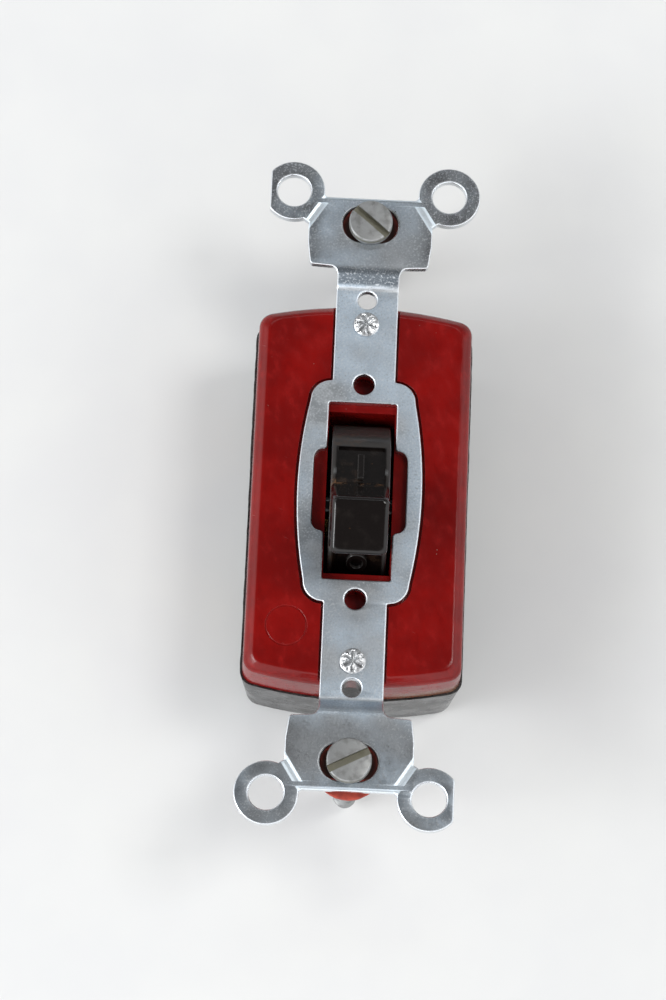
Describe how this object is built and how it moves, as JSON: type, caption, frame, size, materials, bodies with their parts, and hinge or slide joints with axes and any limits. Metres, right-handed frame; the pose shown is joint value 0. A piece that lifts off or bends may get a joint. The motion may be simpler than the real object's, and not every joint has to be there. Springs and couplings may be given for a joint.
{
  "type": "toggle wall switch",
  "caption": "Strap-mounted wall toggle switch in a two-part moulded housing, with break-off plaster ears, captive box screws and side or back wiring.",
  "frame": {"origin": "on the surface that the back of the base rests on, at the middle of the strap", "axes": "+Z out of the wall towards the user, +Y up the wall towards the ON end, +X to the right as seen from the front"},
  "size_m": [0.0332, 0.1028, 0.0386],
  "materials": {
    "zinc_plated_steel": "zinc plated, mottled, bright sheared edges",
    "red_phenolic": "semi-gloss moulded",
    "black_phenolic": "semi-gloss moulded",
    "rivet_steel": "bright, staked",
    "screw_steel": "dull zinc",
    "red_fibre": "matt vulcanised fibre",
    "brown_phenolic": "gloss moulded",
    "spring_steel": "drawn wire",
    "terminal_brass": "rolled sheet",
    "rocker_bronze": "rolled sheet",
    "contact_silver": "polished",
    "screw_brass": "turned"
  },
  "bodies": {
    "housing": {"mounting_strap": "zinc_plated_steel", "cover": "red_phenolic", "base": "black_phenolic", "rivet_top": "rivet_steel", "rivet_bottom": "rivet_steel", "line_terminal": "terminal_brass", "load_terminal": "terminal_brass", "fixed_contact": "contact_silver"},
    "lever": {"toggle": "brown_phenolic", "toggle_spring": "spring_steel", "plunger": "terminal_brass"},
    "rocker": {"contact_rocker": "rocker_bronze", "moving_contact": "contact_silver"},
    "washer_top": {"fibre_washer_top": "red_fibre"},
    "washer_bottom": {"fibre_washer_bottom": "red_fibre"},
    "box_screw_top": {"mounting_screw_top": "screw_steel"},
    "box_screw_bottom": {"mounting_screw_bottom": "screw_steel"},
    "wire_screw_line": {"terminal_screw_line": "screw_brass"},
    "wire_screw_load": {"terminal_screw_load": "screw_brass"},
    "clamp_line": {"clamp_plate_line": "terminal_brass"},
    "clamp_load": {"clamp_plate_load": "terminal_brass"}
  },
  "joints": [
    {"name": "lever_tilt", "type": "hinge", "parent": "housing", "child": "lever", "pos_m": [0, 0, 0.0158], "axis": [1, 0, 0], "range_deg": [0, 47]},
    {"name": "rocker_tilt", "type": "hinge", "parent": "housing", "child": "rocker", "pos_m": [0, 0, 0.0064], "axis": [1, 0, 0], "range_deg": [-14, 0]},
    {"name": "washer_top_shift", "type": "slide", "parent": "housing", "child": "washer_top", "axis": [1, 0, 0], "range_m": [-0.0024, 0.0024]},
    {"name": "washer_bottom_shift", "type": "slide", "parent": "housing", "child": "washer_bottom", "axis": [1, 0, 0], "range_m": [-0.0024, 0.0024]},
    {"name": "box_screw_top_travel", "type": "slide", "parent": "washer_top", "child": "box_screw_top", "axis": [0, 0, 1], "range_m": [0, 0.02]},
    {"name": "box_screw_bottom_travel", "type": "slide", "parent": "washer_bottom", "child": "box_screw_bottom", "axis": [0, 0, 1], "range_m": [0, 0.02]},
    {"name": "wire_screw_line_travel", "type": "slide", "parent": "housing", "child": "wire_screw_line", "axis": [1, 0, 0], "range_m": [0, 0.0022]},
    {"name": "wire_screw_load_travel", "type": "slide", "parent": "housing", "child": "wire_screw_load", "axis": [1, 0, 0], "range_m": [0, 0.0022]},
    {"name": "clamp_line_travel", "type": "slide", "parent": "housing", "child": "clamp_line", "axis": [1, 0, 0], "range_m": [0, 0.0022]},
    {"name": "clamp_load_travel", "type": "slide", "parent": "housing", "child": "clamp_load", "axis": [1, 0, 0], "range_m": [0, 0.0022]}
  ],
  "couplings": [
    {"joint": "rocker_tilt", "follows": "lever_tilt", "ratio": -0.29787},
    {"joint": "clamp_line_travel", "follows": "wire_screw_line_travel", "ratio": 1},
    {"joint": "clamp_load_travel", "follows": "wire_screw_load_travel", "ratio": 1}
  ]
}
